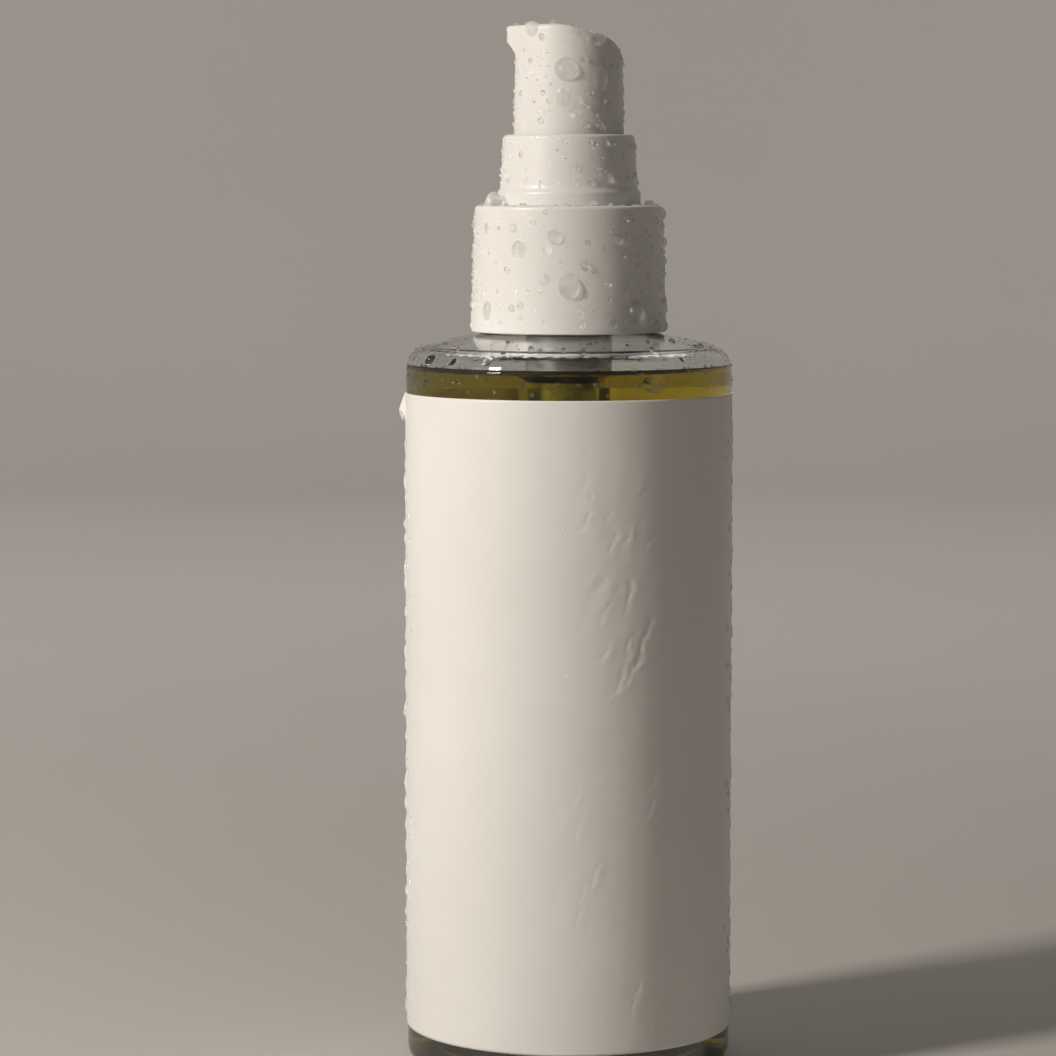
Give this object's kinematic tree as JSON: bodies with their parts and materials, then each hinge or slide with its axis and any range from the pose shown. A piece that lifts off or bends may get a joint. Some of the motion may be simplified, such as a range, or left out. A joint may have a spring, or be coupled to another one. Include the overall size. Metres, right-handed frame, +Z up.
{
  "type": "pump bottle",
  "caption": "Clear cylindrical bottle of oil with a bare white wrap label and a screw-on treatment pump whose head pushes down into a guide sleeve.",
  "frame": {"origin": "on the bottle's axis at the height of the resting ring", "axes": "+Z up along the bottle's axis, -Y out of the front of the label, -X along the spout at rest"},
  "size_m": [0.046, 0.0459, 0.1469],
  "materials": {
    "clear_pet": "clear, glossy",
    "label_film": "satin film",
    "oil": "clear yellow-green liquid",
    "white_pp": "moulded, glossy",
    "natural_pp": "milky",
    "natural_pe": "waxy",
    "gasket_foam": "fine foam",
    "tube_pe": "milky, see-through",
    "stainless": "drawn wire and polished ball"
  },
  "bodies": {
    "bottle": {"bottle": "clear_pet", "label": "label_film", "oil": "oil"},
    "pump_engine": {"pump_housing": "natural_pp", "neck_gasket": "gasket_foam", "chaplet": "natural_pp", "guide_sleeve": "white_pp", "dip_tube": "tube_pe", "return_spring": "stainless"},
    "closure": {"screw_collar": "white_pp"},
    "plunger": {"valve_plug": "natural_pp"},
    "piston": {"piston_seal": "natural_pe"},
    "head": {"actuator": "white_pp", "pump_stem": "natural_pp"},
    "inlet_ball": {"inlet_ball": "stainless"}
  },
  "joints": [
    {"name": "pump_lift", "type": "slide", "parent": "bottle", "child": "pump_engine", "axis": [0, 0, 1], "range_m": [0, 0.00476]},
    {"name": "closure_turn", "type": "hinge", "parent": "pump_engine", "child": "closure", "pos_m": [0, 0, 0.113], "axis": [0, 0, 1], "range_deg": [0, 540]},
    {"name": "pump_stroke", "type": "slide", "parent": "pump_engine", "child": "plunger", "axis": [0, 0, -1], "range_m": [0, 0.0075], "stiffness_N_per_m": 700, "springref_m": -0.006, "deforming": ["return_spring"]},
    {"name": "piston_float", "type": "slide", "parent": "plunger", "child": "piston", "axis": [0, 0, 1], "range_m": [0, 0.0008]},
    {"name": "head_swivel", "type": "hinge", "parent": "plunger", "child": "head", "pos_m": [0, 0, 0.13], "axis": [0, 0, 1], "continuous": true},
    {"name": "ball_lift", "type": "slide", "parent": "pump_engine", "child": "inlet_ball", "axis": [0, 0, 1], "range_m": [0, 0.0012]}
  ],
  "couplings": [
    {"joint": "closure_turn", "follows": "pump_lift", "rad_per_m": 1979}
  ]
}
